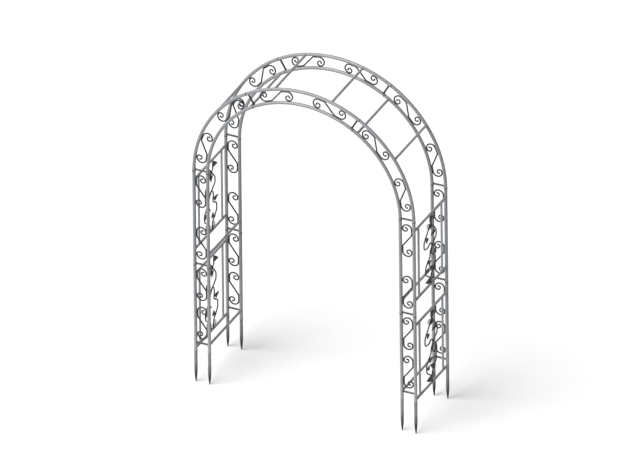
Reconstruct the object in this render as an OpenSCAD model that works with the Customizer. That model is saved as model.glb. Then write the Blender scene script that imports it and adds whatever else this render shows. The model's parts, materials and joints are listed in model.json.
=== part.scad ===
// Garden arch of two curved ladder frames, joined by cross bars and side panels.
// X is the width, Y the depth, Z the height. The spike tips stand at Z = 0.

/* [Overall] */
// Width between the centrelines of the two outer rails
arch_w = 1740; // [1400:10:2100]
// Depth between the centrelines of the front and the back frame
arch_d = 530; // [440:10:700]
// Height of the bottom rungs above the spike tips
spike_h = 328; // [270:1:420]
// Height of the lower leg section, from bottom rung to middle rung
lower_leg_l = 660; // [540:1:800]
// Height of the upper leg section, from middle rung to spring rung
upper_leg_l = 784; // [640:1:950]

/* [Frame tube] */
// Outer diameter of the rails
rail_d = 25; // [20:0.5:32]
// Wall of the rails
rail_wall = 1.5; // [1:0.1:2.5]
// Spacing between the outer and the inner rail, centre to centre
rail_gap = 108; // [90:1:130]
// Diameter of the rungs
rung_d = 14; // [10:0.5:18]
// Angle from the spring line to each radial rung
side_arc = 60; // [50:1:70]
// Distance from a rung's centreline down the rail to the joint below it
joint_offset = 14; // [12:0.5:24]
// Length of leg tube below the bottom rung
foot_drop = 68; // [60:1:90]

/* [Push-fit joints] */
// Diameter of the stop collar between two tubes
collar_d = 28; // [26:0.5:36]
// Thickness of the stop collar
collar_t = 4; // [3:0.5:8]
// Length of each half of a connector plug
plug_l = 45; // [30:1:70]
// Radial play of a plug inside its tube
plug_play = 0.25; // [0.1:0.05:0.6]

/* [Ground spikes] */
// Diameter of the spike's shank
spike_d = 24; // [18:0.5:30]
// Length of the pointed part
point_l = 120; // [60:5:180]
// Diameter of the blunt tip
tip_d = 7; // [4:0.5:12]

/* [Scrolls] */
// Diameter of the scroll bar
scroll_d = 9; // [6:0.5:11]
// Overall length of one scroll
scroll_l = 273; // [230:1:330]
// Lean of the scroll's straight middle away from the rails
scroll_lean = 36.5; // [30:0.5:42]
// Radius of each turn as a share of the turn before
turn_share = 0.63; // [0.55:0.01:0.68]
// Sweep of the innermost turn
last_sweep = 150; // [60:5:170]
// Bend radius where the scroll leaves a rail
scroll_bend_r = 24; // [12:1:30]
// Least space between two scrolls in a row
scroll_space = 20; // [10:1:60]
// Space from a rung's centreline to the nearest scroll, upper legs
upper_scroll_gap = 40; // [28:1:60]
// Space from a rung's centreline to the nearest scroll, lower legs
lower_scroll_gap = 33; // [28:1:60]
// Number of scrolls in each third of the arch
arch_scrolls = 2; // [1:1:2]

/* [Cross bars] */
// Outer diameter of the cross bars
bar_d = 19; // [16:0.5:24]
// Wall of the cross bars
bar_wall = 1.2; // [1:0.1:2]
// Length of the peg inside each end of a cross bar
peg_l = 40; // [25:1:60]
// Radial play between a peg and its bar
peg_play = 0.2; // [0.1:0.05:0.5]
// Gap between a cross bar's end and the rail
bar_end_gap = 3; // [1:0.5:6]
// Angles of the outer cross bars around the arch, from the right spring line
outer_bar_angles = [34, 75, 105, 146];
// Angles of the inner cross bars around the arch
inner_bar_angles = [56, 124];
// Height of the inner side bar above the middle rung
inner_bar_lift = 90; // [60:1:140]

/* [Retaining screws] */
// Diameter of the screw shank
screw_d = 4; // [3:0.5:5]
// Diameter of the screw head
screw_head_d = 9; // [7:0.5:11]
// Height of the screw head above the bar
screw_head_h = 3; // [2:0.5:5]
// Distance of the screw from the bar's end
screw_inset = 16; // [10:1:24]
// Play around the screw shank
screw_play = 0.2; // [0.1:0.05:0.5]

/* [Side panels] */
// Drop from the spring rung to the upper panel's top bar
upper_panel_drop = 90; // [60:1:140]
// Lift of the upper panel's bottom bar above the middle rung
upper_panel_lift = 115; // [90:1:150]
// Drop from the middle rung to the lower panel's top bar
lower_panel_drop = 94; // [60:1:140]
// Drop of the lower panel's bottom bar below the bottom rung
lower_panel_foot = 48; // [36:1:50]
// Diameter of the panel's upright stiles
stile_d = 16; // [12:0.5:18]
// Wall of the stiles
stile_wall = 1.2; // [1:0.1:2]
// Distance from a frame's centreline to the nearest stile
stile_inset = 74; // [50:1:110]

/* [Vine] */
// Diameter of the two vine stems
vine_d = 9; // [6:0.5:11]
// Half width that the stems swing to each side
vine_reach = 95; // [70:1:110]
// Bend radius of the stems
vine_bend_r = 26; // [12:1:34]
// Diameter of the tendrils
tendril_d = 6; // [4:0.5:8]
// Radius of a tendril's curl
tendril_r = 17; // [10:1:24]
// Length of a vine leaf
leaf_l = 62; // [40:1:80]
// Width of a vine leaf
leaf_w = 36; // [24:1:50]
// Thickness of a vine leaf
leaf_t = 3; // [2:0.5:5]

/* [Clearances] */
// Gap left for the weld where two bars meet
weld_gap = 0.2; // [0.1:0.05:0.4]

/* [Hidden] */
$fn = 48;
function join(parts) = [for (p = parts) each p];
LEG_NAMES = ["left_lower", "left_upper", "right_lower", "right_upper"];
ARC_NAMES = ["arch_left", "arch_crown", "arch_right"];
SECTION_NAMES = join([LEG_NAMES, ARC_NAMES]);
FRAME_NAMES = ["front", "back"];
SIDE_NAMES = ["left", "right"];
LEVEL_NAMES = ["upper", "lower"];
PLACE_NAMES = ["outer", "inner"];
rails_names = [for (f = FRAME_NAMES, s = SECTION_NAMES) str(f, "_", s, "_rails")];
scrolls_names = [for (f = FRAME_NAMES, s = SECTION_NAMES) str(f, "_", s, "_scrolls")];
spike_names = [for (f = FRAME_NAMES, s = SIDE_NAMES, p = PLACE_NAMES)
    str(f, "_", s, "_", p, "_spike")];
panel_names = [for (s = SIDE_NAMES, l = LEVEL_NAMES, k = ["frame", "vine", "leaves"])
    str(s, "_", l, "_panel_", k)];

TUBE = [0.80, 0.81, 0.82];
IRON = [0.22, 0.23, 0.24];
STEEL = [0.45, 0.46, 0.47];

outer_r = arch_w / 2;
inner_r = outer_r - rail_gap;
mid_r = (outer_r + inner_r) / 2;
bottom_z = spike_h;
middle_z = bottom_z + lower_leg_l;
rung_z = middle_z + upper_leg_l;
spring_z = rung_z - joint_offset;
foot_z = bottom_z - foot_drop;
joint_z = middle_z - joint_offset;
// A tube stops this far from the middle of its joint, with the collar between
stop = collar_t / 2 + 0.1;
joint_angle = side_arc - degrees(joint_offset, mid_r);

function degrees(length, radius) = length / radius * 180 / PI;
function frame_y(frame) = frame == 0 ? -arch_d / 2 : arch_d / 2;
// A spot is [height of the turning centre, angle of the outward direction]
function leg_spot(side, z) = [z, side == 0 ? 180 : 0];
function arc_spot(angle) = [spring_z, angle];
function leg_bottom(level) = level == 0 ? middle_z : bottom_z;
function leg_top(level) = level == 0 ? rung_z : middle_z;

// Puts children at a spot: their X points outward, their Y stays the depth
module at_spot(spot, y = 0) {
    translate([0, y, spot[0]])
        rotate([0, -spot[1], 0])
            children();
}

module tube(d, wall, l) {
    difference() {
        cylinder(d = d, h = l);
        translate([0, 0, -1])
            cylinder(d = d - 2 * wall, h = l + 2);
    }
}

// A round bar or tube between two bars of the same frame, coped to fit both
module coped_bar(from, to, d, wall, end_d) {
    difference() {
        translate([from, 0, 0])
            rotate([0, 90, 0])
                if (wall > 0) tube(d, wall, to - from);
                else cylinder(d = d, h = to - from);
        for (x = [from, to])
            translate([x, 0, -end_d])
                cylinder(d = end_d + 2 * weld_gap, h = 2 * end_d);
    }
}

// ---- Bent bars, drawn flat in the XY plane ----

// A bar thins by this much where it is bent, so its straight runs lap over the bends
bend_draw = 0.2;
bend_lap = 1;

module bar_line(from, to, d) {
    way = to - from;
    translate(from)
        rotate([0, 0, atan2(way[1], way[0])])
            rotate([45, 0, 0])
                rotate([0, 90, 0])
                    cylinder(d = d, h = norm(way));
}

module bar_arc(centre, radius, start, sweep, d) {
    translate(centre)
        rotate([0, 0, start])
            rotate_extrude(angle = sweep, $fn = 72)
                translate([radius, 0])
                    circle(d = d - bend_draw, $fn = 48);
}

function unit(v) = v / norm(v);
function turn_at(pts, i) = let (a = pts[i] - pts[i - 1], b = pts[i + 1] - pts[i])
    atan2(a[0] * b[1] - a[1] * b[0], a * b);
function is_end(pts, i) = i == 0 || i == len(pts) - 1;
function bend_reach(pts, i, bend_r) =
    is_end(pts, i) ? 0 : bend_r * tan(abs(turn_at(pts, i)) / 2);

// A bar in straight runs, with a bend of one radius at each inner point; end_lap
// lengthens it at both ends, where something carries it on
module bent_bar(pts, bend_r, d, end_lap = 0) {
    for (i = [0 : len(pts) - 2]) {
        way = unit(pts[i + 1] - pts[i]);
        first_lap = is_end(pts, i) ? end_lap : bend_lap;
        last_lap = is_end(pts, i + 1) ? end_lap : bend_lap;
        bar_line(pts[i] + way * (bend_reach(pts, i, bend_r) - first_lap),
            pts[i + 1] - way * (bend_reach(pts, i + 1, bend_r) - last_lap), d);
    }
    for (i = [1 : len(pts) - 2])
        bend(pts[i], unit(pts[i - 1] - pts[i]), turn_at(pts, i), bend_r, d);
}

// The bend at a corner: back points to the run before it, turn is left if positive
module bend(corner, back, turn, bend_r, d) {
    hand = turn < 0 ? -1 : 1;
    centre = corner + back * bend_r * tan(abs(turn) / 2)
        + [back[1], -back[0]] * bend_r * hand;
    from = atan2(-back[0], back[1]) + (hand < 0 ? 0 : 180);
    bar_arc(centre, bend_r, hand > 0 ? from : from + turn, abs(turn), d);
}

// ---- Scrolls ----

// The turn that fills the space between the rails, and the smaller ones in it
turn_1 = (rail_gap - rail_d - scroll_d) / 2 - weld_gap;
turn_2 = turn_1 * turn_share;
turn_3 = turn_2 * turn_share;
// Middle of the scroll to the centre of each hook, and to each corner
hook_u = scroll_l / 2 - turn_1 - scroll_d / 2;
corner_u = turn_1 / tan(scroll_lean);
track_in = (rail_d + scroll_d) / 2 + weld_gap;

// A point beside the rails, u along them; curved rails turn about the origin
function beside(radius, u, curved) = curved
    ? [radius * cos(degrees(u, mid_r)), radius * sin(degrees(u, mid_r))]
    : [radius, u];

module hook(d) {
    bar_arc([0, 0], turn_1, 0, 180, d);
    bar_arc([turn_2 - turn_1, 0], turn_2, 180, 180, d);
    bar_arc([2 * turn_2 - turn_1 - turn_3, 0], turn_3, 0, last_sweep, d);
}

module s_scroll(curved) {
    out = outer_r - track_in;
    inn = inner_r + track_in;
    bent_bar([beside(out, hook_u, curved), beside(out, corner_u, curved),
        beside(inn, -corner_u, curved), beside(inn, -hook_u, curved)],
        scroll_bend_r, scroll_d, bend_lap);
    for (end = [1, -1])
        translate(beside(end > 0 ? out - turn_1 : inn + turn_1, end * hook_u, curved))
            rotate([0, 0, (end > 0 ? 0 : 180)
                + (curved ? degrees(end * hook_u, mid_r) : 0)])
                hook(scroll_d);
}

// Scrolls stand with their upper hook on the outer rail on both sides
module scroll_at(spot, y, curved) {
    at_spot(spot, y)
        mirror([0, 0, spot[1] > 90 ? 1 : 0])
            rotate([90, 0, 0])
                s_scroll(curved);
}

module leg_scrolls(frame, side, level) {
    gap = level == 0 ? upper_scroll_gap : lower_scroll_gap;
    low = leg_bottom(level) + gap + scroll_l / 2;
    high = leg_top(level) - gap - scroll_l / 2;
    count = 1 + max(0, floor((high - low) / (scroll_l + scroll_space)));
    for (i = [0 : count - 1])
        scroll_at(leg_spot(side, count == 1 ? (low + high) / 2
            : low + (high - low) * i / (count - 1)), frame_y(frame), false);
}

module arc_scrolls(frame, third) {
    middle = 150 - 60 * third;
    for (i = [0 : arch_scrolls - 1])
        scroll_at(arc_spot(middle + (i - (arch_scrolls - 1) / 2) * side_arc / 2),
            frame_y(frame), true);
}

// ---- Rails, rungs and connectors ----

module leg_rails(frame, side, level) {
    low = level == 0 ? joint_z + stop : foot_z;
    high = level == 0 ? spring_z - stop : joint_z - stop;
    for (r = [outer_r, inner_r])
        translate([side == 0 ? -r : r, frame_y(frame), low])
            tube(rail_d, rail_wall, high - low);
}

module arc_rails(frame, third) {
    first = [180 - joint_angle, joint_angle, 0][third];
    last = [180, 180 - joint_angle, joint_angle][third];
    for (r = [outer_r, inner_r]) {
        trim = degrees(stop, r);
        translate([0, frame_y(frame), spring_z])
            rotate([90, 0, 0])
                rotate([0, 0, first + trim])
                    rotate_extrude(angle = last - first - 2 * trim, $fn = 360)
                        translate([r, 0])
                            difference() {
                                circle(d = rail_d, $fn = 48);
                                circle(d = rail_d - 2 * rail_wall, $fn = 48);
                            }
    }
}

rung_spots = join([
    [for (side = [0, 1], z = [bottom_z, middle_z]) leg_spot(side, z)],
    [for (angle = [degrees(joint_offset, mid_r), side_arc]) each
        [arc_spot(angle), arc_spot(180 - angle)]]
]);
// Each joint is [spot, is the rail curved on its -Z side, and on its +Z side]
joints = join([
    [for (side = [0, 1]) [leg_spot(side, joint_z), false, false]],
    [for (side = [0, 1]) [leg_spot(side, spring_z), side == 0, side == 1]],
    [for (angle = [joint_angle, 180 - joint_angle]) [arc_spot(angle), true, true]]
]);

module rungs(frame) {
    color(IRON)
        for (spot = rung_spots)
            at_spot(spot, frame_y(frame))
                coped_bar(inner_r, outer_r, rung_d, 0, rail_d);
}

module plug(l) {
    cylinder(d = rail_d - 2 * rail_wall - 2 * plug_play, h = l);
}

// Half of a plug, from the middle of a joint, bent where its rail is bent
module half_plug(r, curved, way) {
    if (curved)
        rotate([90, 0, 0])
            rotate([0, 0, way < 0 ? -degrees(plug_l, r) : 0])
                rotate_extrude(angle = degrees(plug_l, r), $fn = 360)
                    translate([r, 0])
                        circle(d = rail_d - 2 * rail_wall - 2 * plug_play, $fn = 48);
    else
        translate([r, 0, way < 0 ? -plug_l : 0])
            plug(plug_l);
}

module connectors(frame) {
    color(IRON)
        for (joint = joints, r = [outer_r, inner_r])
            at_spot(joint[0], frame_y(frame)) {
                translate([r, 0, -collar_t / 2])
                    cylinder(d = collar_d, h = collar_t);
                half_plug(r, joint[1], -1);
                half_plug(r, joint[2], 1);
            }
}

module spike(frame, side, place) {
    x = (side == 0 ? -1 : 1) * (place == 0 ? outer_r : inner_r);
    ogive_r = (pow(point_l, 2) + pow((spike_d - tip_d) / 2, 2)) / (spike_d - tip_d);
    color(STEEL)
        translate([x, frame_y(frame), 0]) {
            rotate_extrude()
                intersection() {
                    translate([spike_d / 2 - ogive_r, point_l])
                        circle(r = ogive_r, $fn = 1440);
                    square([spike_d / 2, point_l]);
                }
            translate([0, 0, point_l])
                cylinder(d = spike_d, h = foot_z - collar_t - 0.1 - point_l);
            translate([0, 0, foot_z - collar_t - 0.1])
                cylinder(d = collar_d, h = collar_t);
            translate([0, 0, foot_z - collar_t - 0.1])
                plug(plug_l + collar_t);
        }
}

// ---- Cross bars, their pegs and screws ----

bar_half = arch_d / 2 - rail_d / 2 - bar_end_gap;
inner_bar_zs = [middle_z + inner_bar_lift, bottom_z];
panel_bar_zs = [
    [rung_z - upper_panel_drop, middle_z + upper_panel_lift],
    [middle_z - lower_panel_drop, bottom_z - lower_panel_foot]
];
function side_bar_spots(side, zs) = [for (z = zs) leg_spot(side, z)];
// Each bar is [spot, radius]
bar_places = join([
    [for (a = outer_bar_angles) [arc_spot(a), outer_r]],
    [for (a = inner_bar_angles) [arc_spot(a), inner_r]],
    [for (s = [0, 1], z = inner_bar_zs) [leg_spot(s, z), inner_r]],
    [for (s = [0, 1], level = panel_bar_zs, z = level) [leg_spot(s, z), outer_r]]
]);

// Puts children at one end of a bar, their Z pointing away from the frame
module at_bar_end(place, frame) {
    at_spot(place[0], frame_y(frame))
        translate([place[1], 0, 0])
            rotate([frame == 0 ? -90 : 90, 0, 0])
                children();
}

module cross_bar(place) {
    difference() {
        at_spot(place[0])
            translate([place[1], bar_half, 0])
                rotate([90, 0, 0])
                    tube(bar_d, bar_wall, 2 * bar_half);
        for (frame = [0, 1])
            at_bar_end(place, frame)
                screw_hole();
    }
}

screw_z = arch_d / 2 - bar_half + screw_inset;

module screw_hole() {
    translate([0, 0, screw_z])
        rotate([0, 90, 0])
            cylinder(d = screw_d + 2 * screw_play, h = bar_d);
}

module peg() {
    difference() {
        cylinder(d = bar_d - 2 * bar_wall - 2 * peg_play,
            h = arch_d / 2 - bar_half + peg_l);
        rotate([90, 0, 0])
            translate([0, 0, -rail_d])
                cylinder(d = rail_d + 2 * weld_gap, h = 2 * rail_d);
        screw_hole();
    }
}

module bar_pegs() {
    color(STEEL)
        for (place = bar_places, frame = [0, 1])
            at_bar_end(place, frame)
                peg();
}

module screw() {
    translate([0.5, 0, screw_z])
        rotate([0, 90, 0]) {
            cylinder(d = screw_d, h = bar_d / 2 + weld_gap);
            translate([0, 0, bar_d / 2 - 0.5 + weld_gap])
                cylinder(d1 = screw_head_d, d2 = screw_head_d - 2, h = screw_head_h);
        }
}

module bar_screws() {
    color(STEEL)
        for (place = bar_places, frame = [0, 1])
            at_bar_end(place, frame)
                screw();
}

module cross_bars(first, count) {
    color(TUBE)
        for (i = [first : first + count - 1])
            cross_bar(bar_places[i]);
}

// ---- Side panels ----

stile_y = arch_d / 2 - stile_inset;

// Draws the panel's plane: children's X becomes the depth, their Y the height
module at_panel(side, level, out = 0) {
    translate([(side == 0 ? -1 : 1) * (outer_r + out), 0, panel_bar_zs[level][1]])
        rotate([90, 0, 90])
            children();
}

function panel_h(level) = panel_bar_zs[level][0] - panel_bar_zs[level][1];

module panel_frame(side, level) {
    color(TUBE) {
        for (z = panel_bar_zs[level])
            cross_bar([leg_spot(side, z), outer_r]);
        at_panel(side, level)
            for (x = [-stile_y, stile_y])
                translate([x, 0, 0])
                    rotate([90, 0, 90])
                        coped_bar(0, panel_h(level), stile_d, stile_wall, bar_d);
    }
}

// Course of each stem: [swing as a share of vine_reach, share of the height]
STEM_COURSES = [
    [[-0.10, 1], [-0.10, 0.90], [0.95, 0.71], [0.95, 0.62], [0.30, 0.55],
        [-0.10, 0.48], [-0.15, 0.41], [-0.92, 0.31], [-0.92, 0.20],
        [-0.15, 0.11], [0, 0.06], [0, 0]],
    [[0.38, 1], [0.38, 0.88], [-0.95, 0.66], [-0.95, 0.56], [-0.25, 0.54],
        [0.20, 0.60], [0.45, 0.50], [0.30, 0.40], [0.98, 0.34], [0.98, 0.24],
        [0.30, 0.13], [0.18, 0.07], [0.18, 0]]
];
stem_out = vine_d / 2 + weld_gap / 2;

// The stems run clear of the panel's bars at both ends
function stem_points(stem, level) = [for (p = STEM_COURSES[stem])
    [p[0] * vine_reach, max(bar_d / 2 + weld_gap,
        min(panel_h(level) - bar_d / 2 - weld_gap, p[1] * panel_h(level)))]];

module panel_vine(side, level) {
    color(IRON)
        for (stem = [0, 1])
            at_panel(side, level, stem == 0 ? stem_out : -stem_out)
                bent_bar(stem_points(stem, level), vine_bend_r, vine_d);
}

// Each leaf is [stem, run of the stem, share along the run, side, tilt, size]
LEAVES = [
    [1, 0, 0.6, 1, -10, 1], [0, 1, 0.22, -1, 20, 0.7],
    [1, 1, 0.78, 1, -20, 1], [0, 1, 0.71, -1, 0, 1],
    [0, 6, 0.5, 1, 20, 1], [1, 7, 0.5, 1, -20, 1],
    [0, 7, 0.5, 1, 0, 0.9], [1, 9, 0.6, -1, 10, 1],
    [0, 9, 0.2, -1, -20, 1.1]
];
TENDRILS = [[1, 1, 0.22, -1, 0], [1, 11, 0.5, 1, 0]];

module leaf(size) {
    l = leaf_l * size;
    w = leaf_w * size;
    side_r = (l * l / 4 + w * w / 4) / w;
    translate([l / 2, 0, -leaf_t / 2])
        linear_extrude(leaf_t)
            intersection_for (y = [1, -1])
                translate([0, y * (side_r - w / 2)])
                    circle(r = side_r, $fn = 96);
}

// Puts children on the skin of a stem, their X pointing away from it
module on_stem(spec, level) {
    pts = stem_points(spec[0], level);
    from = pts[spec[1]];
    to = pts[spec[1] + 1];
    way = unit(to - from);
    out = [-way[1], way[0]] * spec[3];
    translate(from + (to - from) * spec[2] + out * (vine_d / 2 + weld_gap))
        rotate([0, 0, atan2(out[1], out[0]) + spec[4]])
            children();
}

module tendril() {
    stalk = tendril_r + tendril_d;
    bar_line([0, 0], [stalk + bend_lap, 0], tendril_d);
    bar_arc([stalk, tendril_r], tendril_r, -90, 250, tendril_d);
}

module panel_leaves(side, level) {
    color(IRON) {
        for (spec = LEAVES)
            at_panel(side, level, spec[0] == 0 ? stem_out : -stem_out)
                on_stem(spec, level)
                    leaf(spec[5]);
        for (spec = TENDRILS)
            at_panel(side, level, spec[0] == 0 ? stem_out : -stem_out)
                on_stem(spec, level)
                    tendril();
    }
}

// ---- Assembly ----

module section_rails(frame, section) {
    color(TUBE)
        if (section < 4) leg_rails(frame, floor(section / 2), 1 - section % 2);
        else arc_rails(frame, section - 4);
}

module section_scrolls(frame, section) {
    color(IRON)
        if (section < 4) leg_scrolls(frame, floor(section / 2), 1 - section % 2);
        else arc_scrolls(frame, section - 4);
}

for (f = [0, 1], s = [0 : 6])
    section_rails(f, s);
for (f = [0, 1], s = [0 : 6])
    section_scrolls(f, s);
for (f = [0, 1], s = [0, 1], p = [0, 1])
    spike(f, s, p);
for (s = [0, 1], l = [0, 1]) {
    panel_frame(s, l);
    panel_vine(s, l);
    panel_leaves(s, l);
}
rungs(0);  // front_rungs
rungs(1);  // back_rungs
connectors(0);  // front_connectors
connectors(1);  // back_connectors
cross_bars(0, 4);  // arch_outer_bars
cross_bars(4, 2);  // arch_inner_bars
cross_bars(6, 2);  // left_inner_bars
cross_bars(8, 2);  // right_inner_bars
bar_pegs();
bar_screws();
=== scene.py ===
import json
import math
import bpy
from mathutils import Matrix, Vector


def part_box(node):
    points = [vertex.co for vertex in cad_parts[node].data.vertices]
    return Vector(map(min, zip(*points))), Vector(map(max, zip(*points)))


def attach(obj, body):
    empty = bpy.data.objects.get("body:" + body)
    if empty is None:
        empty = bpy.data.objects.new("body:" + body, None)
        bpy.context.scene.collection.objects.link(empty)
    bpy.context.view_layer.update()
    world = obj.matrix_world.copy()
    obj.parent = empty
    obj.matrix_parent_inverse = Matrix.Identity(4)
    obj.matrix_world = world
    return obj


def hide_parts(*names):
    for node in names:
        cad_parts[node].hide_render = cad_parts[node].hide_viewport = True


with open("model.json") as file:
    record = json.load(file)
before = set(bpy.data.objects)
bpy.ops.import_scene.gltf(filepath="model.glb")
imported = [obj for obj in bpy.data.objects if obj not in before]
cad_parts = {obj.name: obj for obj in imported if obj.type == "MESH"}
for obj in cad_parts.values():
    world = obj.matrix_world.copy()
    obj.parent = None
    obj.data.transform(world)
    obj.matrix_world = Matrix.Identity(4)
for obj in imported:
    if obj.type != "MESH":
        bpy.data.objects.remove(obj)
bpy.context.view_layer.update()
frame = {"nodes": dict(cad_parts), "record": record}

from types import SimpleNamespace

import bpy
from bpy.props import FloatProperty, FloatVectorProperty, IntProperty, PointerProperty
from mathutils import Matrix, Vector

bl_info = {
    "name": "Metal Trellis Arch",
    "version": (1, 0, 0),
    "blender": (4, 5, 0),
    "location": "View3D > Sidebar > Trellis Arch",
    "description": "Builds the scrolls, vines, leaves, welds, screws and coats of a garden arch",
    "category": "Add Mesh",
}

ROOT = "root"
FRAMES = ("front", "back")
SIDES = ("left", "right")
LEVELS = ("lower", "upper")
PANELS = [(side, level) for side in SIDES for level in LEVELS]
THIRDS = ("left", "crown", "right")


# ---- Sizes and colours that a user would change ----

def size(name, text, default):
    return FloatProperty(name=name, description=text, default=default, unit="LENGTH", min=0)


def share(name, text, default):
    return FloatProperty(name=name, description=text, default=default, subtype="FACTOR",
                         min=0, max=1)


def power(name, text, default):
    return FloatProperty(name=name, description=text, default=default, min=0)


def count(name, text, default):
    return IntProperty(name=name, description=text, default=default, min=1)


def angle(name, text, degrees):
    return FloatProperty(name=name, description=text, default=math.radians(degrees),
                         subtype="ANGLE")


def colour(name, text, default):
    return FloatVectorProperty(name=name, description=text, default=default, size=3,
                               subtype="COLOR", min=0, max=1)


class TrellisFrameSizes(bpy.types.PropertyGroup):
    width: size("Width", "Between the centrelines of the outer rails", 1.740)
    depth: size("Depth", "Between the front and the back frame", 0.530)
    bottom_z: size("Bottom rung", "Height of the bottom rungs", 0.328)
    middle_z: size("Middle rung", "Height of the middle rungs", 0.988)
    rung_z: size("Spring rung", "Height of the rungs under the arch", 1.772)
    spring_z: size("Spring line", "Height of the centre of the arch", 1.758)
    rail_d: size("Rail", "Diameter of a rail", 0.025)
    rail_gap: size("Rail spacing", "Between an outer and an inner rail", 0.108)
    rung_d: size("Rung", "Diameter of a rung", 0.014)
    side_arc: angle("Rung angle", "From the spring line to a radial rung", 60)
    bar_d: size("Cross bar", "Diameter of a cross bar", 0.019)
    peg_d: size("Peg", "Diameter of the peg in a cross bar's end", 0.0162)
    stile_d: size("Stile", "Diameter of a side panel's stile", 0.016)
    stile_in: size("Stile place", "From a frame's plane in to the nearest stile", 0.074)
    gap: size("Weld gap", "Space between two bars that a weld joins", 0.0002)


class TrellisScrollSizes(bpy.types.PropertyGroup):
    bar_d: size("Bar", "Diameter of the scroll bar", 0.011)
    length: size("Length", "Overall length of a scroll", 0.273)
    lean: angle("Lean", "Lean of the straight middle", 36.5)
    turn_share: share("Turn share", "Radius of each turn as a share of the one before", 0.54)
    last_sweep: angle("Last turn", "Sweep of the innermost turn", 150)
    bend_r: size("Bend", "Bend radius where the scroll leaves a rail", 0.024)
    upper_gap: size("Upper gap", "From a rung to the nearest scroll, upper legs", 0.040)
    lower_gap: size("Lower gap", "From a rung to the nearest scroll, lower legs", 0.033)
    eye_d: size("Eye", "Diameter of the forged eye at a scroll's end", 0.0135)
    neck: share("Neck", "Thickness of the bar just before its eye", 0.80)
    taper_l: size("Taper", "Length over which the bar thins to its neck", 0.070)


class TrellisVineSizes(bpy.types.PropertyGroup):
    bar_d: size("Stem", "Diameter of a vine stem", 0.010)
    reach: size("Reach", "How far the stems swing to each side", 0.095)
    bend_r: size("Bend", "Bend radius of the stems", 0.026)
    knot: share("Knot", "Swelling of a stem where a leaf leaves it", 0.30)
    knot_l: size("Knot length", "Length of that swelling", 0.016)
    tendril_d: size("Tendril", "Diameter of a tendril at its stem", 0.006)
    tendril_r: size("Tendril curl", "Radius of a tendril's outer curl", 0.017)
    tendril_tip: share("Tendril tip", "Thickness of a tendril's tip", 0.5)
    leaf_l: size("Leaf length", "Length of a vine leaf", 0.062)
    leaf_w: size("Leaf width", "Width of a vine leaf", 0.046)
    leaf_t: size("Leaf thickness", "Thickness of the leaf plate", 0.0022)
    leaf_stalk: share("Leaf stalk", "Stalk's share of a leaf's length", 0.10)
    leaf_rib: size("Leaf rib", "Height of a leaf's middle rib", 0.0016)
    leaf_vein: size("Leaf veins", "Height of a leaf's side veins", 0.0010)
    leaf_cup: size("Leaf cup", "How far a leaf's sides turn up", 0.0075)
    leaf_droop: size("Leaf droop", "How far a leaf's tip bends down", 0.006)
    veins: count("Vein pairs", "Side veins on each half of a leaf", 5)
    teeth: count("Teeth", "Teeth on each edge of a leaf", 6)


class TrellisWeldSizes(bpy.types.PropertyGroup):
    run_l: size("Weld run", "Length of the weld beside a scroll", 0.019)
    run_d: size("Weld width", "Width of that weld", 0.0056)
    ring_d: size("Ring weld", "Width of the weld around a rung's end", 0.0042)
    stile_ring_d: size("Stile weld", "Width of the weld around a stile's end", 0.0034)
    peg_ring_d: size("Peg weld", "Width of the weld around a peg", 0.0026)
    ripples: count("Ripples", "Ripples in a weld run", 5)


class TrellisScrewSizes(bpy.types.PropertyGroup):
    head_d: size("Head", "Diameter of a screw head", 0.009)
    head_h: size("Head height", "Height of a screw head", 0.0032)
    socket_d: size("Socket", "Width of the hexagon socket", 0.0042)
    socket_h: size("Socket depth", "Depth of the socket", 0.0018)
    sink: size("Sink", "How far a head beds into its bar", 0.0004)
    from_frame: size("From frame", "From the frame's plane to a screw", 0.0315)


class TrellisFinish(bpy.types.PropertyGroup):
    rail: colour("Rail coat", "Powder coat of the rails", (0.178, 0.184, 0.193))
    bar: colour("Bar coat", "Powder coat of the cross bars", (0.205, 0.211, 0.220))
    iron: colour("Iron paint", "Paint of scrolls, stems and leaves", (0.008, 0.009, 0.010))
    worn_iron: colour("Worn iron", "Iron where the paint is rubbed", (0.060, 0.060, 0.063))
    spike: colour("Spike coat", "Coat of the ground spikes", (0.180, 0.186, 0.193))
    rust: colour("Rust", "Rust in chips and low on the spikes", (0.17, 0.085, 0.045))
    dust: colour("Dust", "Dust on upward faces", (0.29, 0.285, 0.27))
    zinc: colour("Zinc", "Plated steel of the screws", (0.40, 0.41, 0.42))


class TrellisStage(bpy.types.PropertyGroup):
    azimuth: angle("Azimuth", "Camera's turn from the front towards the right", 25.72)
    elevation: angle("Elevation", "Camera's height above level", 31.11)
    roll: angle("Roll", "Camera's roll", -0.6)
    view_width: size("View width", "Width that the camera takes in", 4.510)
    aim_right: FloatProperty(name="Aim right", description="Aim, right of the axis",
                             default=-0.035, unit="LENGTH")
    aim_height: size("Aim height", "Height that the camera aims at", 1.280)
    camera_back: size("Camera distance", "From the aim back to the camera", 12.0)
    key_azimuth: angle("Key azimuth", "Key light's turn from the front towards the right", -34)
    key_elevation: angle("Key elevation", "Key light's height above level", 46)
    key_spread: angle("Key spread", "Breadth of the key light", 58)
    key_power: power("Key power", "Strength of the key light", 5.8)
    sky_power: power("Sky power", "Strength of the light all round", 0.38)
    floor_size: size("Floor", "Width of the floor", 60.0)
    floor: colour("Floor", "Colour of the floor", (0.66, 0.66, 0.66))


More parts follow.
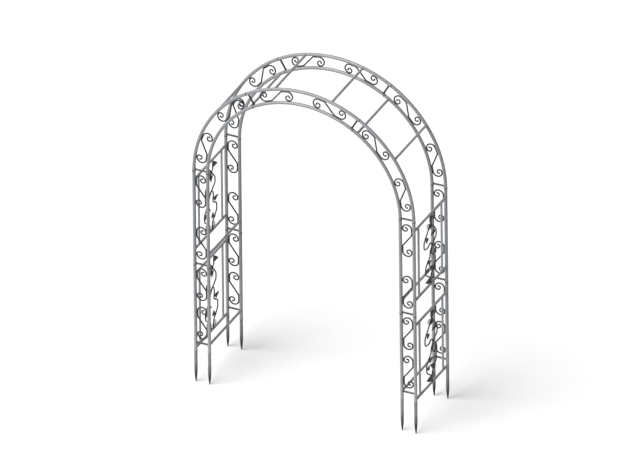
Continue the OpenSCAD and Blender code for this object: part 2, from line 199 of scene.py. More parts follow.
# Course of each vine stem, from its top: [share of the reach, share of the height]
STEM_COURSES = (
    ((-0.10, 1), (-0.10, 0.90), (0.95, 0.71), (0.95, 0.62), (0.30, 0.55), (-0.10, 0.48),
     (-0.15, 0.41), (-0.92, 0.31), (-0.92, 0.20), (-0.15, 0.11), (0, 0.06), (0, 0)),
    ((0.38, 1), (0.38, 0.88), (-0.95, 0.66), (-0.95, 0.56), (-0.25, 0.54), (0.20, 0.60),
     (0.45, 0.50), (0.30, 0.40), (0.98, 0.34), (0.98, 0.24), (0.30, 0.13), (0.18, 0.07),
     (0.18, 0)),
)
# Each leaf is (stem, run of the stem, share along the run, side, tilt in degrees, size)
LEAVES = (
    (1, 0, 0.60, 1, -10, 1.0), (0, 1, 0.22, -1, 20, 0.7), (1, 1, 0.78, 1, -20, 1.0),
    (0, 1, 0.71, -1, 0, 1.0), (0, 6, 0.50, 1, 20, 1.0), (1, 7, 0.50, 1, -20, 1.0),
    (0, 7, 0.50, 1, 0, 0.9), (1, 9, 0.60, -1, 10, 1.0), (0, 9, 0.20, -1, -20, 1.1),
)
TENDRILS = ((1, 1, 0.22, -1, 0, 1.0), (1, 11, 0.50, 1, 0, 1.0))
OUTER_BAR_ANGLES = (34, 75, 105, 146)
INNER_BAR_ANGLES = (56, 124)


# ---- Places on the arch ----

def spot_matrix(spot, y=0.0):
    """Axes at a spot (height of the turning centre, angle): X outward, Y the depth."""
    height, turn = spot
    c, s = math.cos(turn), math.sin(turn)
    return Matrix(((c, 0, -s, 0), (0, 1, 0, y), (s, 0, c, height), (0, 0, 0, 1)))


def layout():
    """Every derived size and spot of the arch, worked out from the user's sizes."""
    scene = bpy.context.scene
    f, s, v = scene.trellis_frame, scene.trellis_scrolls, scene.trellis_vine
    lay = SimpleNamespace(frame=f, scroll=s, vine=v)
    lay.outer_r = f.width / 2
    lay.inner_r = lay.outer_r - f.rail_gap
    lay.mid_r = (lay.outer_r + lay.inner_r) / 2
    lay.frame_y = {"front": -f.depth / 2, "back": f.depth / 2}
    lay.leg_turn = {"left": math.pi, "right": 0.0}
    lay.leg_span = {"lower": (f.bottom_z, f.middle_z), "upper": (f.middle_z, f.rung_z)}
    lay.turn_1 = (f.rail_gap - f.rail_d - s.bar_d) / 2 - f.gap
    lay.hook_u = s.length / 2 - lay.turn_1 - s.bar_d / 2
    lay.corner_u = lay.turn_1 / math.tan(s.lean)
    lay.track = (f.rail_d + s.bar_d) / 2 + f.gap
    lay.panels = {"upper": bar_heights("upper"), "lower": bar_heights("lower")}
    lay.rung_lift = (f.rung_z - f.spring_z) / lay.mid_r
    return lay


def bar_heights(level):
    """Centre heights of a side panel's bottom and top bar, taken from its frame."""
    low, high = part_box(f"right_{level}_panel_frame")
    half = bpy.context.scene.trellis_frame.bar_d / 2
    return low.z + half, high.z - half


def leg_scroll_spots(lay, side, level):
    low, high = lay.leg_span[level]
    gap = lay.scroll.upper_gap if level == "upper" else lay.scroll.lower_gap
    half = lay.scroll.length / 2
    first, last = low + gap + half, high - gap - half
    return [(height, lay.leg_turn[side]) for height in (first, last)]


def arch_scroll_spots(lay, third):
    middle = math.radians(150 - 60 * THIRDS.index(third))
    step = lay.frame.side_arc / 4
    return [(lay.frame.spring_z, middle - step), (lay.frame.spring_z, middle + step)]


def scroll_nodes(lay, frame_name):
    """Each scroll node of a frame with its spots, and whether its rails are curved."""
    found = [(f"{frame_name}_{side}_{level}_scrolls", leg_scroll_spots(lay, side, level),
              False) for side, level in PANELS]
    return found + [(f"{frame_name}_arch_{third}_scrolls", arch_scroll_spots(lay, third),
                     True) for third in THIRDS]


def rung_spots(lay):
    f = lay.frame
    spots = [(z, turn) for turn in lay.leg_turn.values() for z in (f.bottom_z, f.middle_z)]
    for turn in (lay.rung_lift, f.side_arc):
        spots += [(f.spring_z, turn), (f.spring_z, math.pi - turn)]
    return spots


def bar_spots(lay):
    """Every cross bar as (spot, radius)."""
    f = lay.frame
    spots = [((f.spring_z, math.radians(a)), lay.outer_r) for a in OUTER_BAR_ANGLES]
    spots += [((f.spring_z, math.radians(a)), lay.inner_r) for a in INNER_BAR_ANGLES]
    for side in SIDES:
        turn = lay.leg_turn[side]
        low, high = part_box(f"{side}_inner_bars")
        inner = (low.z + f.bar_d / 2, high.z - f.bar_d / 2)
        spots += [((z, turn), lay.inner_r) for z in inner]
        spots += [((z, turn), lay.outer_r) for pair in lay.panels.values() for z in pair]
    return spots


# ---- Courses of bent bars, drawn flat ----

TURN_STEP = math.radians(9)
SCROLL_STEP = 0.02
EYE_STEP = 0.0011
EYE_REACH = 1.3
END_R = 0.0004
STEM_STEP = 0.006
TENDRIL_SWEEPS = (250, 180, 100)
TENDRIL_CLOSING = 0.6


def arc(centre, radius, start, sweep):
    steps = max(2, round(abs(sweep) / TURN_STEP))
    return [Vector((centre[0] + radius * math.cos(start + sweep * i / steps),
                    centre[1] + radius * math.sin(start + sweep * i / steps)))
            for i in range(steps + 1)]


def rounded(points, bend_r):
    """A course of straight runs with a bend of one radius at each inner point."""
    course = [points[0]]
    for before, corner, after in zip(points, points[1:], points[2:]):
        back, ahead = (before - corner).normalized(), (after - corner).normalized()
        half = back.angle(ahead) / 2
        centre = corner + (back + ahead).normalized() * bend_r / math.sin(half)
        first = corner + back * bend_r / math.tan(half) - centre
        last = corner + ahead * bend_r / math.tan(half) - centre
        start = math.atan2(first.y, first.x)
        sweep = math.remainder(math.atan2(last.y, last.x) - start, math.tau)
        course += arc(centre, bend_r, start, sweep)
    return course + [points[-1]]


def even(course, step):
    """The same course with points added, so that none are further apart than step."""
    out = [course[0]]
    for a, b in zip(course, course[1:]):
        pieces = max(1, math.ceil((b - a).length / step))
        if (b - a).length > 1e-6:
            out += [a.lerp(b, (i + 1) / pieces) for i in range(pieces)]
    return out


def lengths_along(course):
    total, out = 0.0, [0.0]
    for a, b in zip(course, course[1:]):
        total += (b - a).length
        out.append(total)
    return out


def hook_course(lay):
    """A scroll's hook, from the rail to its eye, with its turns closing in."""
    s = lay.scroll
    r1 = lay.turn_1
    r2 = r1 * s.turn_share
    r3 = r2 * s.turn_share
    course = arc((0, 0), r1, 0, math.pi)
    course += arc((r2 - r1, 0), r2, math.pi, math.pi)[1:]
    return course + arc((2 * r2 - r1 - r3, 0), r3, 0, s.last_sweep)[1:]


def scroll_course(lay, curved):
    """One S scroll from eye to eye, drawn with the rails' direction as Y."""
    def beside(radius, u):
        if curved:
            turn = u / lay.mid_r
            return Vector((radius * math.cos(turn), radius * math.sin(turn)))
        return Vector((radius, u))

    out, inn = lay.outer_r - lay.track, lay.inner_r + lay.track
    corners = [beside(out, lay.hook_u), beside(out, lay.corner_u),
               beside(inn, -lay.corner_u), beside(inn, -lay.hook_u)]
    hooks = []
    for end in (1, -1):
        turn = (0 if end > 0 else math.pi) + (end * lay.hook_u / lay.mid_r if curved else 0)
        centre = beside(out - lay.turn_1 if end > 0 else inn + lay.turn_1, end * lay.hook_u)
        spin = Matrix.Rotation(turn, 2)
        hooks.append([centre + spin @ p for p in hook_course(lay)])
    return hooks[0][::-1] + rounded(corners, lay.scroll.bend_r)[1:-1] + hooks[1]


def eye_radius(lay, from_end):
    """Radius of a scroll bar at a distance from its end: ball, neck, then full bar."""
    s = lay.scroll
    ball, bar = s.eye_d / 2, s.bar_d / 2
    neck = bar * s.neck
    blend = min(1.0, from_end / s.taper_l)
    radius = neck + (bar - neck) * blend * blend * (3 - 2 * blend)
    if from_end < 2 * ball:
        radius = max(radius if from_end > ball else 0.0,
                     math.sqrt(max(ball ** 2 - (ball - from_end) ** 2, 0)))
    return max(radius, END_R)


# ---- Mesh and geometry node helpers ----

def mesh_object(name, points, faces=(), edges=()):
    mesh = bpy.data.meshes.new(name)
    mesh.from_pydata(points, edges, faces)
    mesh.update()
    obj = bpy.data.objects.new(name, mesh)
    bpy.context.collection.objects.link(obj)
    return obj


def set_attribute(obj, name, kind, values):
    layer = obj.data.attributes.new(name, kind, "POINT")
    key = "vector" if kind == "FLOAT_VECTOR" else "value"
    flat = [c for value in values for c in value] if kind == "FLOAT_VECTOR" else values
    layer.data.foreach_set(key, flat)


def new_tree(name, **inputs):
    """An empty geometry tree with named inputs, and its input and output nodes."""
    tree = bpy.data.node_groups.new(name, "GeometryNodeTree")
    for way in ("INPUT", "OUTPUT"):
        tree.interface.new_socket("Geometry", in_out=way, socket_type="NodeSocketGeometry")
    for label, kind in (*inputs.items(), ("Material", "Material")):
        tree.interface.new_socket(label, in_out="INPUT", socket_type=f"NodeSocket{kind}")
    return tree, tree.nodes.new("NodeGroupInput"), tree.nodes.new("NodeGroupOutput")


def end_tree(tree, geometry, source, target):
    """Closes a tree with Realize Instances and Set Material."""
    realise = tree.nodes.new("GeometryNodeRealizeInstances")
    paint = tree.nodes.new("GeometryNodeSetMaterial")
    tree.links.new(geometry, realise.inputs["Geometry"])
    tree.links.new(realise.outputs["Geometry"], paint.inputs["Geometry"])
    tree.links.new(source.outputs["Material"], paint.inputs["Material"])
    tree.links.new(paint.outputs["Geometry"], target.inputs["Geometry"])
    return tree


def attribute(tree, name, kind):
    node = tree.nodes.new("GeometryNodeInputNamedAttribute")
    node.data_type = kind
    node.inputs["Name"].default_value = name
    return node.outputs["Attribute"]


def bar_tree():
    """A round bar swept along each chain of edges, as thick as its points say."""
    tree, source, target = new_tree("Bar along a course", Sides="Int")
    nodes, links = tree.nodes, tree.links
    curve = nodes.new("GeometryNodeMeshToCurve")
    ring = nodes.new("GeometryNodeCurvePrimitiveCircle")
    ring.inputs["Radius"].default_value = 1.0
    sweep = nodes.new("GeometryNodeCurveToMesh")
    sweep.inputs["Fill Caps"].default_value = True
    smooth = nodes.new("GeometryNodeSetShadeSmooth")
    links.new(source.outputs["Geometry"], curve.inputs["Mesh"])
    links.new(source.outputs["Sides"], ring.inputs["Resolution"])
    links.new(curve.outputs["Curve"], sweep.inputs["Curve"])
    links.new(ring.outputs["Curve"], sweep.inputs["Profile Curve"])
    links.new(attribute(tree, "thickness", "FLOAT"), sweep.inputs["Scale"])
    links.new(sweep.outputs["Mesh"], smooth.inputs["Geometry"])
    return end_tree(tree, smooth.outputs["Geometry"], source, target)


def copies_tree():
    """A copy of one object on each point, turned and sized by the point's attributes."""
    tree, source, target = new_tree("Copies on points", Shape="Object")
    nodes, links = tree.nodes, tree.links
    shape = nodes.new("GeometryNodeObjectInfo")
    shape.transform_space = "ORIGINAL"
    turn = nodes.new("FunctionNodeEulerToRotation")
    place = nodes.new("GeometryNodeInstanceOnPoints")
    links.new(source.outputs["Shape"], shape.inputs["Object"])
    links.new(source.outputs["Geometry"], place.inputs["Points"])
    links.new(shape.outputs["Geometry"], place.inputs["Instance"])
    links.new(attribute(tree, "turn", "FLOAT_VECTOR"), turn.inputs["Euler"])
    links.new(turn.outputs["Rotation"], place.inputs["Rotation"])
    links.new(attribute(tree, "scale", "FLOAT_VECTOR"), place.inputs["Scale"])
    return end_tree(tree, place.outputs["Instances"], source, target)


built_trees = {}


def made_by(maker, obj, **inputs):
    """Runs a geometry tree on an object and leaves it as a plain mesh."""
    if maker not in built_trees:
        built_trees[maker] = maker()
    tree = built_trees[maker]
    modifier = obj.modifiers.new(tree.name, "NODES")
    modifier.node_group = tree
    for item in tree.interface.items_tree:
        if item.item_type == "SOCKET" and item.in_out == "INPUT" and item.name in inputs:
            modifier[item.identifier] = inputs[item.name]
    graph = bpy.context.evaluated_depsgraph_get()
    mesh = bpy.data.meshes.new_from_object(obj.evaluated_get(graph), depsgraph=graph)
    obj.modifiers.clear()
    rough = obj.data
    obj.data = mesh
    bpy.data.meshes.remove(rough)
    mesh.name = obj.name
    if not mesh.polygons:
        raise RuntimeError(f"{obj.name} came out empty")
    return obj


def bars(name, courses, sides, material):
    """One piece of swept bars. Each course is a list of (point, radius)."""
    points, edges, radii = [], [], []
    for course in courses:
        start = len(points)
        points += [point for point, _ in course]
        radii += [radius for _, radius in course]
        edges += [(i, i + 1) for i in range(start, len(points) - 1)]
    obj = mesh_object(name, points, edges=edges)
    set_attribute(obj, "thickness", "FLOAT", radii)
    return made_by(bar_tree, obj, Sides=sides, Material=material)


def copies(name, shape, places, material):
    """One piece of copies of a shape. Each place is (matrix, scale)."""
    obj = mesh_object(name, [matrix.translation for matrix, _ in places])
    set_attribute(obj, "turn", "FLOAT_VECTOR", [tuple(m.to_euler()) for m, _ in places])
    set_attribute(obj, "scale", "FLOAT_VECTOR", [s for _, s in places])
    return made_by(copies_tree, obj, Shape=shape, Material=material)


def drop(shape):
    mesh = shape.data
    bpy.data.objects.remove(shape)
    bpy.data.meshes.remove(mesh)


def joins(piece, slot, *nodes):
    """Hangs a finished piece on the arch and hides the CAD nodes that it replaces. The slot is
    not used.
    """
    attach(piece, ROOT)
    if nodes:
        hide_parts(*nodes)


def grid_faces(rows, columns, closed_rows=False):
    faces = []
    for i in range(rows if closed_rows else rows - 1):
        for j in range(columns):
            k = (j + 1) % columns
            n = (i + 1) % rows
            faces.append((i * columns + j, i * columns + k, n * columns + k, n * columns + j))
    return faces


def shade_smooth(obj):
    obj.data.polygons.foreach_set("use_smooth", [True] * len(obj.data.polygons))
    return obj


# ---- Shader groups that the coats share ----

FLOAT, COLOUR = "NodeSocketFloat", "NodeSocketColor"
GREY = (0.5, 0.5, 0.5, 1)
CHIP_PATCHES = 7.0
CHIP_EDGE = 0.04
DUST_CLOUDS = 38.0
FADE_EDGE = 55.0
FADE_RAGGED = 0.03
GRAIN_SHARE = 0.35


def shader_group(name, inputs, outputs=(("Colour", COLOUR), ("Mask", FLOAT))):
    """An empty shader group. An input whose default has four numbers is a colour."""
    tree = bpy.data.node_groups.new(name, "ShaderNodeTree")
    for label, default in inputs.items():
        kind = COLOUR if isinstance(default, tuple) else FLOAT
        socket = tree.interface.new_socket(label, in_out="INPUT", socket_type=kind)
        socket.default_value = default
    for label, kind in outputs:
        tree.interface.new_socket(label, in_out="OUTPUT", socket_type=kind)
    return tree, tree.nodes.new("NodeGroupInput"), tree.nodes.new("NodeGroupOutput")


def feed(tree, given, socket):
    """Links another socket into this one, or gives it a plain value."""
    if isinstance(given, bpy.types.NodeSocket):
        tree.links.new(given, socket)
    else:
        socket.default_value = given


def maths(tree, operation, a, b):
    node = tree.nodes.new("ShaderNodeMath")
    node.operation = operation
    feed(tree, a, node.inputs[0])
    feed(tree, b, node.inputs[1])
    return node.outputs["Value"]


def ranged(tree, value, low, high, to_low=0.0, to_high=1.0):
    node = tree.nodes.new("ShaderNodeMapRange")
    for label, given in (("Value", value), ("From Min", low), ("From Max", high),
                         ("To Min", to_low), ("To Max", to_high)):
        feed(tree, given, node.inputs[label])
    return node.outputs["Result"]


def place_in(tree):
    """The shaded point in its object's own space."""
    return tree.nodes.new("ShaderNodeTexCoord").outputs["Object"]


def upward(tree, vector):
    split = tree.nodes.new("ShaderNodeSeparateXYZ")
    tree.links.new(vector, split.inputs["Vector"])
    return split.outputs["Z"]


def noise(tree, scale, detail):
    """Noise in object space. Scale is a socket or a number per metre."""
    node = tree.nodes.new("ShaderNodeTexNoise")
    node.inputs["Detail"].default_value = detail
    tree.links.new(place_in(tree), node.inputs["Vector"])
    feed(tree, scale, node.inputs["Scale"])
    return node.outputs["Fac"]


def end_masked(tree, source, target, mask, over):
    """Closes a group that lays one colour over another through a mask."""
    mix = tree.nodes.new("ShaderNodeMix")
    mix.data_type = "RGBA"
    tree.links.new(mask, mix.inputs["Factor"])
    for socket in mix.inputs:
        if socket.type == "RGBA":
            label = "Colour" if socket.name == "A" else over
            tree.links.new(source.outputs[label], socket)
    result = [socket for socket in mix.outputs if socket.type == "RGBA"][0]
    tree.links.new(result, target.inputs["Colour"])
    tree.links.new(mask, target.inputs["Mask"])
    return tree


def mottle_group():
    """Slow cloudy change of a coat's colour."""
    tree, source, target = shader_group(
        "Coat mottle", {"Colour": GREY, "Shade": GREY, "Scale": 9.0, "Amount": 0.5})
    cloud = ranged(tree, noise(tree, source.outputs["Scale"], 4.0), 0.35, 0.68)
    mask = maths(tree, "MULTIPLY", cloud, source.outputs["Amount"])
    return end_masked(tree, source, target, mask, "Shade")


def chips_group():
    """Small chips and rubbed freckles that show what is under the coat."""
    tree, source, target = shader_group(
        "Chips", {"Colour": GREY, "Under": GREY, "Scale": 120.0, "Level": 0.7})
    patches = ranged(tree, noise(tree, CHIP_PATCHES, 2.0), 0.45, 0.62)
    level = source.outputs["Level"]
    fine = ranged(tree, noise(tree, source.outputs["Scale"], 2.0), level,
                  maths(tree, "ADD", level, CHIP_EDGE))
    mask = maths(tree, "MULTIPLY", fine, patches)
    return end_masked(tree, source, target, mask, "Under")


def dust_group():
    """Dust that lies where a surface faces up."""
    tree, source, target = shader_group(
        "Dust on top", {"Colour": GREY, "Dust": GREY, "Amount": 0.3})
    facing = tree.nodes.new("ShaderNodeNewGeometry").outputs["Normal"]
    top = ranged(tree, upward(tree, facing), 0.35, 0.95)
    cloud = ranged(tree, noise(tree, DUST_CLOUDS, 4.0), 0.38, 0.70)
    mask = maths(tree, "MULTIPLY", maths(tree, "MULTIPLY", top, cloud),
                 source.outputs["Amount"])
    return end_masked(tree, source, target, mask, "Dust")


def fade_group():
    """A change of colour between two heights, broken up along its edge."""
    tree, source, target = shader_group(
        "Change with height", {"Colour": GREY, "Low colour": GREY, "Low": 0.0, "High": 0.2})
    ragged = ranged(tree, noise(tree, FADE_EDGE, 4.0), 0, 1, -FADE_RAGGED, FADE_RAGGED)
    height = maths(tree, "ADD", upward(tree, place_in(tree)), ragged)
    mask = ranged(tree, height, source.outputs["High"], source.outputs["Low"])
    return end_masked(tree, source, target, mask, "Low colour")


def skin_group():
    """Height of a sprayed or hammered skin: fine grain over broad dents."""
    tree, source, target = shader_group(
        "Coat skin", {"Grain scale": 900.0, "Dent scale": 90.0, "Dents": 0.5},
        (("Height", FLOAT),))
    grain = maths(tree, "MULTIPLY", noise(tree, source.outputs["Grain scale"], 2.0),
                  GRAIN_SHARE)
    dents = maths(tree, "MULTIPLY", noise(tree, source.outputs["Dent scale"], 1.0),
                  source.outputs["Dents"])
    tree.links.new(maths(tree, "ADD", grain, dents), target.inputs["Height"])
    return tree


GROUPS = {"mottle": mottle_group, "chips": chips_group, "dust": dust_group,
          "fade": fade_group, "skin": skin_group}
built_groups = {}


def add_group(tree, kind, colour_in=None, **values):
    """Places a shared group in a material with this material's own values."""
    if kind not in built_groups:
        built_groups[kind] = GROUPS[kind]()
    node = tree.nodes.new("ShaderNodeGroup")
    node.node_tree = built_groups[kind]
    if colour_in is not None:
        feed(tree, colour_in, node.inputs["Colour"])
    for label, given in values.items():
        node.inputs[label.replace("_", " ")].default_value = given
    return node


def opaque(colour_value):
    return (*colour_value, 1)


def scaled(colour_value, factor):
    return tuple(min(1.0, c * factor) for c in colour_value)


def coat(name, base, shade, steps, skin, roughness, metallic=0.0, clear=0.0, bump=0.0004):
    """A painted, plated or bare finish, built up from the shared groups.

    Steps are (group, values) laid over the base. Roughness is (clean, worn).
    """
    material = bpy.data.materials.new(name)
    material.use_nodes = True
    material.diffuse_color = opaque(base)
    tree = material.node_tree
    shader = tree.nodes["Principled BSDF"]
    node = add_group(tree, "mottle", opaque(base), Shade=opaque(shade), Scale=11.0,
                     Amount=0.7)
    mask = node.outputs["Mask"]
    for kind, values in steps:
        node = add_group(tree, kind, node.outputs["Colour"], **values)
        mask = maths(tree, "MAXIMUM", mask, node.outputs["Mask"])
    tree.links.new(node.outputs["Colour"], shader.inputs["Base Color"])
    tree.links.new(ranged(tree, mask, 0, 1, *roughness), shader.inputs["Roughness"])
    shader.inputs["Metallic"].default_value = metallic
    shader.inputs["Coat Weight"].default_value = clear
    shader.inputs["Coat Roughness"].default_value = 0.25
    relief = tree.nodes.new("ShaderNodeBump")
    relief.inputs["Strength"].default_value = 0.5
    relief.inputs["Distance"].default_value = bump
    height = add_group(tree, "skin", **skin).outputs["Height"]
    tree.links.new(height, relief.inputs["Height"])
    tree.links.new(relief.outputs["Normal"], shader.inputs["Normal"])
    return material


SPRAYED = {"Grain_scale": 1100.0, "Dent_scale": 60.0, "Dents": 0.25}
FORGED = {"Grain_scale": 600.0, "Dent_scale": 130.0, "Dents": 1.0}


def coat_values(c):
    """What coat() takes for each slot, from the user's colours c."""
    def chips(under, scale, level):
        return "chips", {"Under": opaque(under), "Scale": scale, "Level": level}

    def dust(amount):
        return "dust", {"Dust": opaque(c.dust), "Amount": amount}

    def fade(low_colour, low, high):
        return "fade", {"Low_colour": opaque(low_colour), "Low": low, "High": high}

    return {
        "frame_tube": dict(
            name="Rail powder coat", base=c.rail, shade=scaled(c.rail, 0.84),
            steps=(chips(c.worn_iron, 170.0, 0.71), fade(c.dust, -0.2, 0.75), dust(0.35)),
            skin=SPRAYED, roughness=(0.36, 0.62), clear=0.1),
        "cross_tube": dict(
            name="Cross bar powder coat", base=c.bar, shade=scaled(c.bar, 0.82),
            steps=(chips(c.worn_iron, 190.0, 0.70), dust(0.5)),
            skin=SPRAYED, roughness=(0.38, 0.62), clear=0.1),
        "wrought_bar": dict(
            name="Charcoal paint on forged bar", base=c.iron, shade=scaled(c.iron, 1.7),
            steps=(chips(c.worn_iron, 230.0, 0.66), dust(0.08)),
            skin=FORGED, roughness=(0.52, 0.74), bump=0.0009),
        "rung_bar": dict(
            name="Charcoal paint on rungs", base=scaled(c.iron, 1.15),
            shade=scaled(c.iron, 1.9), steps=(chips(c.rail, 210.0, 0.70), dust(0.35)),
            skin=SPRAYED, roughness=(0.48, 0.70)),
        "leaf_iron": dict(
            name="Charcoal paint on pressed leaf", base=c.iron, shade=scaled(c.iron, 2.0),
            steps=(chips(c.worn_iron, 320.0, 0.63), dust(0.08)),
            skin=FORGED, roughness=(0.50, 0.72), bump=0.0006),
        "spike_steel": dict(
            name="Spike coat worn at the tip", base=c.spike, shade=scaled(c.spike, 0.8),
            steps=(fade(scaled(c.iron, 1.6), 0.05, 0.17), chips(c.rust, 150.0, 0.62)),
            skin=FORGED, roughness=(0.36, 0.75), metallic=0.4, bump=0.0006),
        "collar": dict(
            name="Dark collar coat", base=scaled(c.iron, 1.6), shade=scaled(c.iron, 2.6),
            steps=(chips(c.rail, 260.0, 0.64),),
            skin=SPRAYED, roughness=(0.40, 0.62), metallic=0.2),
        "peg_steel": dict(
            name="Peg steel", base=scaled(c.spike, 0.9), shade=scaled(c.spike, 0.7),
            steps=(chips(c.rust, 240.0, 0.66),),
            skin=FORGED, roughness=(0.35, 0.60), metallic=0.6),
        "screw": dict(
            name="Zinc plated screw", base=c.zinc, shade=scaled(c.zinc, 0.7),
            steps=(chips(c.rust, 420.0, 0.70),),
            skin=SPRAYED, roughness=(0.28, 0.50), metallic=0.9, bump=0.0002),
    }


made_coats = {}


def coat_for(slot):
    """A slot's finish, made once."""
    if slot not in made_coats:
        made_coats[slot] = coat(**coat_values(bpy.context.scene.trellis_finish)[slot])
    return made_coats[slot]


# ---- Operators, one for each kind of piece ----

class TRELLIS_OT_coats(bpy.types.Operator):
    """Give each tube, rung, collar, peg and spike its own coat"""
    bl_idname = "trellis.coats"
    bl_label = "Coat the Tubes"

    def execute(self, context):
        for row in frame["record"]["subparts"]:
            for holder in frame["nodes"][row["node"]].material_slots:
                holder.material = coat_for(row["material_slot"])
        return {"FINISHED"}


class TRELLIS_OT_scrolls(bpy.types.Operator):
    """Forge the S scrolls between the rails, with tapered turns and a ball at each eye"""
    bl_idname = "trellis.scrolls"
    bl_label = "Forge the Scrolls"

    def execute(self, context):
        lay = layout()
        flat = {curved: even(scroll_course(lay, curved), SCROLL_STEP)
                for curved in (False, True)}
        for curved, course in flat.items():
            flat[curved] = finer_ends(course, lay.scroll.eye_d * EYE_REACH, EYE_STEP)
        for frame_name in FRAMES:
            for node, spots, curved in scroll_nodes(lay, frame_name):
                course = flat[curved]
                along = lengths_along(course)
                radii = [eye_radius(lay, min(s, along[-1] - s)) for s in along]
                chains = []
                for spot in spots:
                    place = scroll_place(spot, lay.frame_y[frame_name])
                    chains.append([(place @ Vector((p.x, 0, p.y)), r)
                                   for p, r in zip(course, radii)])
                piece = bars(node.replace("_scrolls", "_forged_scrolls"), chains, 14,
                             coat_for("wrought_bar"))
                joins(piece, "wrought_bar", node)
        return {"FINISHED"}


def finer_ends(course, reach, step):
    """Adds points near both ends, where the eye's ball needs them."""
    along = lengths_along(course)
    out = []
    for (a, b), start in zip(zip(course, course[1:]), along):
        near = min(start, along[-1] - start) < reach
        pieces = max(1, math.ceil((b - a).length / step)) if near else 1
        out += [a.lerp(b, i / pieces) for i in range(pieces)]
    return out + [course[-1]]


def scroll_place(spot, y):
    """Scrolls stand with their upper hook on the outer rail on both sides."""
    flip = Matrix.Diagonal((1, 1, -1 if spot[1] > math.pi / 2 else 1, 1))
    return spot_matrix(spot, y) @ flip


class TRELLIS_OT_vines(bpy.types.Operator):
    """Bend the two stems of each side panel's vine and its curling tendrils"""
    bl_idname = "trellis.vines"
    bl_label = "Bend the Vines"

    def execute(self, context):
        lay = layout()
        for side, level in PANELS:
            chains = [stem_chain(lay, side, level, stem) for stem in (0, 1)]
            piece = bars(f"{side}_{level}_panel_stems", chains, 12, coat_for("wrought_bar"))
            joins(piece, "wrought_bar", f"{side}_{level}_panel_vine")
        for side in SIDES:
            chains = [tendril_chain(lay, side, level, spec)
                      for level in LEVELS for spec in TENDRILS]
            piece = bars(f"{side}_tendrils", chains, 10, coat_for("wrought_bar"))
            joins(piece, "wrought_bar")
        return {"FINISHED"}


def stem_points(lay, stem, level):
    """Corner points of a stem in its panel, clear of the bars at both ends."""
    low, high = lay.panels[level]
    tall = high - low
    clear = lay.frame.bar_d / 2 + lay.frame.gap
    return [Vector((x * lay.vine.reach, max(clear, min(tall - clear, z * tall))))
            for x, z in STEM_COURSES[stem]]


def panel_matrix(lay, side, level, stem):
    """A panel's plane at one stem: drawing X is the depth, Y the height, Z outward."""
    sign = 1 if side == "right" else -1
    lift = (lay.vine.bar_d + lay.frame.gap) / 2 * (1 if stem == 0 else -1)
    x = sign * (lay.outer_r + lift)
    return Matrix(((0, 0, 1, x), (1, 0, 0, 0), (0, 1, 0, lay.panels[level][0]),
                   (0, 0, 0, 1)))


def stem_place(lay, spec, level):
    """A point on the skin of a stem in its panel's plane, and the way out from it."""
    stem, run, along, side, tilt, _ = spec
    points = stem_points(lay, stem, level)
    way = (points[run + 1] - points[run]).normalized()
    out = Vector((-way.y, way.x)) * side
    skin = lay.vine.bar_d / 2 + lay.frame.gap
    root = points[run].lerp(points[run + 1], along) + out * skin
    return root, math.atan2(out.y, out.x) + math.radians(tilt), out


def stem_chain(lay, side, level, stem):
    """A stem's course in space, swelling where a leaf or tendril leaves it."""
    course = even(rounded(stem_points(lay, stem, level), lay.vine.bend_r), STEM_STEP)
    bar = lay.vine.bar_d / 2
    roots = [stem_place(lay, spec, level)[0] for spec in LEAVES + TENDRILS
             if spec[0] == stem]
    place = panel_matrix(lay, side, level, stem)
    chain = []
    for p in course:
        near = min((p - root).length for root in roots)
        swell = math.exp(-(max(near - bar, 0) / (lay.vine.knot_l / 2)) ** 2)
        chain.append((place @ Vector((p.x, p.y, 0)), bar * (1 + lay.vine.knot * swell)))
    return chain


def tendril_chain(lay, side, level, spec):
    """A thin curl that closes in on itself and thins to its tip."""
    root, turn, _ = stem_place(lay, spec, level)
    v = lay.vine
    stalk = v.tendril_r + v.tendril_d
    course = [Vector((i * stalk / 8, 0)) for i in range(8)]
    centre = Vector((stalk, v.tendril_r))
    radius, start = v.tendril_r, -math.pi / 2
    for sweep in map(math.radians, TENDRIL_SWEEPS):
        course += arc(centre, radius, start, sweep)[1:]
        start += sweep
        outward = Vector((math.cos(start), math.sin(start)))
        centre += outward * radius * (1 - TENDRIL_CLOSING)
        radius *= TENDRIL_CLOSING
    spin = Matrix.Rotation(turn, 2)
    place = panel_matrix(lay, side, level, spec[0])
    along = lengths_along(course)
    chain = []
    for p, s in zip(course, along):
        q = root + spin @ p
        thin = 1 - (1 - v.tendril_tip) * s / along[-1]
        end = along[-1] - s
        nose = math.sqrt(min(1.0, end / (v.tendril_d / 2) + 0.02))
        chain.append((place @ Vector((q.x, q.y, 0)), v.tendril_d / 2 * thin * nose))
    return chain


class TRELLIS_OT_leaves(bpy.types.Operator):
    """Press the vine leaves, with a raised rib, side veins and a toothed edge"""
    bl_idname = "trellis.leaves"
    bl_label = "Press the Leaves"

    def execute(self, context):
        lay = layout()
        shape = leaf_shape(lay)
        for side, level in PANELS:
            places = []
            for spec in LEAVES:
                root, turn, _ = stem_place(lay, spec, level)
                plane = panel_matrix(lay, side, level, spec[0])
                place = plane @ Matrix.Translation((root.x, root.y, 0))
                outward = Matrix.Rotation(turn, 4, "Z")
                if side == "left":
                    outward = outward @ Matrix.Rotation(math.pi, 4, "X")
                places.append((place @ outward, (spec[5],) * 3))
            piece = copies(f"{side}_{level}_pressed_leaves", shape, places,
                           coat_for("leaf_iron"))
            joins(piece, "leaf_iron", f"{side}_{level}_panel_leaves")
        drop(shape)
        return {"FINISHED"}


# A leaf's outline and relief, as exponents and as shares of its width
HEART, FULLNESS = 0.62, 0.85
TOOTH, TOOTH_ROOT = 0.07, 0.96
RIB_WIDTH, VEIN_SLANT = 0.13, 1.1
EDGE_SWEEP = 0.05


